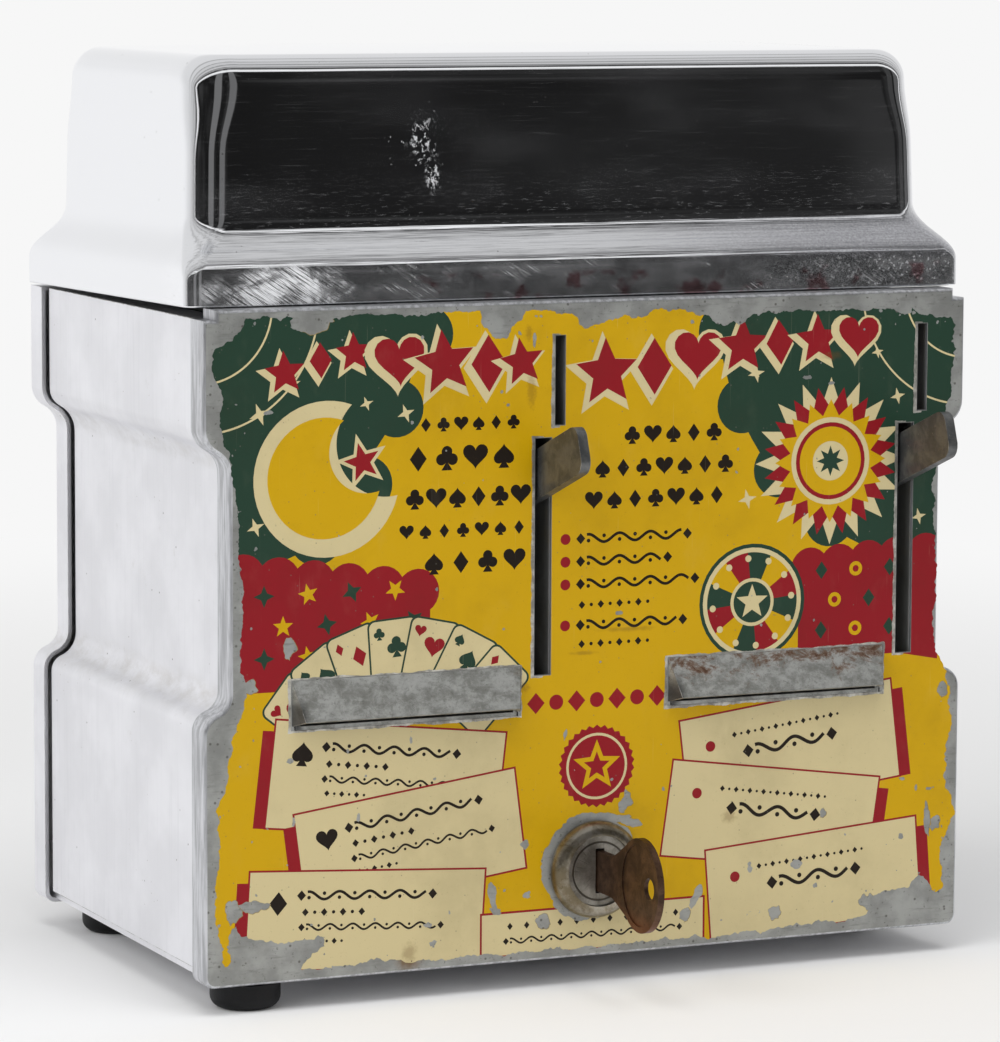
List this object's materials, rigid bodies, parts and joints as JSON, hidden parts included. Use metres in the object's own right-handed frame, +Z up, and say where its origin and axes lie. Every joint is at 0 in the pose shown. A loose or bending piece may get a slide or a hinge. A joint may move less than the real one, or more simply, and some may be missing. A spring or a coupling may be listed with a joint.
{
  "type": "countertop fortune card dispenser",
  "caption": "Coin-operated countertop fortune card dispenser: stepped metal case with two press levers, card hoods, a keyed lock and a hinged chrome lid.",
  "frame": {"origin": "centre of the bounding box in plan, at the level of the soles of the rubber feet", "axes": "+X to the right of someone who faces the front plate, +Y from the front plate to the back, +Z up"},
  "size_m": [0.194, 0.1552, 0.2135],
  "materials": {
    "front_paint": "worn satin paint over bare grey metal",
    "case_metal": "satin, lightly worn",
    "galvanised": "mottled galvanised sheet",
    "inner_steel": "dull zinc plated sheet",
    "bright_steel": "bright zinc plate",
    "spring_steel": "dark spring wire",
    "nickel": "worn nickel plate",
    "dark_bronze": "dark bronze patina",
    "lever_steel": "brown worn steel",
    "card": "uncoated card",
    "weight_iron": "dull grey paint",
    "lid_chrome": "polished, lightly scratched",
    "foot_rubber": "matte black"
  },
  "bodies": {
    "base": {"back_pan": "case_metal", "base_pan": "case_metal", "deck": "inner_steel", "coin_ramp": "inner_steel", "magazine_left": "inner_steel", "magazine_right": "inner_steel", "card_stack_left": "card", "card_stack_right": "card", "hinge_leaf_case": "bright_steel", "hinge_pin": "bright_steel", "case_rivets": "case_metal", "foot_front_left": "foot_rubber", "foot_front_middle": "foot_rubber", "foot_front_right": "foot_rubber", "foot_rear_left": "foot_rubber", "foot_rear_right": "foot_rubber", "foot_screws": "bright_steel", "foot_nuts": "bright_steel", "back_screws": "bright_steel"},
    "front_housing": {"front_pan": "front_paint", "side_panel_left": "case_metal", "side_panel_right": "case_metal", "card_hood_left": "galvanised", "card_hood_right": "galvanised", "lever_bracket_left": "inner_steel", "lever_bracket_right": "inner_steel", "lever_shaft_left": "bright_steel", "lever_shaft_right": "bright_steel", "shaft_clip_left": "spring_steel", "shaft_clip_right": "spring_steel", "coin_chute_left": "inner_steel", "coin_chute_right": "inner_steel", "lock_barrel": "nickel", "lock_nut": "nickel"},
    "lid": {"lid": "lid_chrome", "hinge_leaf_lid": "bright_steel", "lid_rivets": "case_metal"},
    "lever_left": {"lever_left": "lever_steel", "lever_spring_left": "spring_steel"},
    "lever_right": {"lever_right": "lever_steel", "lever_spring_right": "spring_steel"},
    "pusher_left": {"pusher_left": "bright_steel", "pusher_spring_left": "spring_steel"},
    "pusher_right": {"pusher_right": "bright_steel", "pusher_spring_right": "spring_steel"},
    "lock_cylinder": {"lock_plug": "nickel", "lock_cam": "inner_steel", "cam_screw": "bright_steel"},
    "key": {"key": "dark_bronze"},
    "card_weight_left": {"card_weight_left": "weight_iron"},
    "card_weight_right": {"card_weight_right": "weight_iron"}
  },
  "joints": [
    {"name": "front_pull", "type": "slide", "parent": "base", "child": "front_housing", "axis": [0, -1, 0], "range_m": [0, 0.1]},
    {"name": "lid_hinge", "type": "hinge", "parent": "base", "child": "lid", "pos_m": [0, 0.0757, 0.157], "axis": [-1, 0, 0], "range_deg": [0, 105]},
    {"name": "lever_left", "type": "hinge", "parent": "front_housing", "child": "lever_left", "pos_m": [-0.0132, -0.0021, 0.1041], "axis": [1, 0, 0], "range_deg": [0, 50], "stiffness_Nm_per_rad": 0.2, "springref_deg": -28.65},
    {"name": "pusher_left", "type": "slide", "parent": "base", "child": "pusher_left", "axis": [0, 1, 0], "range_m": [0, 0.02621]},
    {"name": "lever_right", "type": "hinge", "parent": "front_housing", "child": "lever_right", "pos_m": [0.0798, -0.0021, 0.1041], "axis": [1, 0, 0], "range_deg": [0, 50], "stiffness_Nm_per_rad": 0.2, "springref_deg": -28.65},
    {"name": "pusher_right", "type": "slide", "parent": "base", "child": "pusher_right", "axis": [0, 1, 0], "range_m": [0, 0.02621]},
    {"name": "lock_turn", "type": "hinge", "parent": "front_housing", "child": "lock_cylinder", "pos_m": [0, -0.0421, 0.0269], "axis": [0, 1, 0], "range_deg": [0, 90]},
    {"name": "key_pull", "type": "slide", "parent": "lock_cylinder", "child": "key", "axis": [0, -1, 0], "range_m": [0, 0.022]},
    {"name": "weight_lift_left", "type": "slide", "parent": "base", "child": "card_weight_left", "axis": [0, 0, 1], "range_m": [0, 0.03]},
    {"name": "weight_lift_right", "type": "slide", "parent": "base", "child": "card_weight_right", "axis": [0, 0, 1], "range_m": [0, 0.03]}
  ],
  "couplings": [
    {"joint": "pusher_left", "follows": "lever_left", "m_per_rad": 0.030026},
    {"joint": "pusher_right", "follows": "lever_right", "m_per_rad": 0.030026}
  ]
}
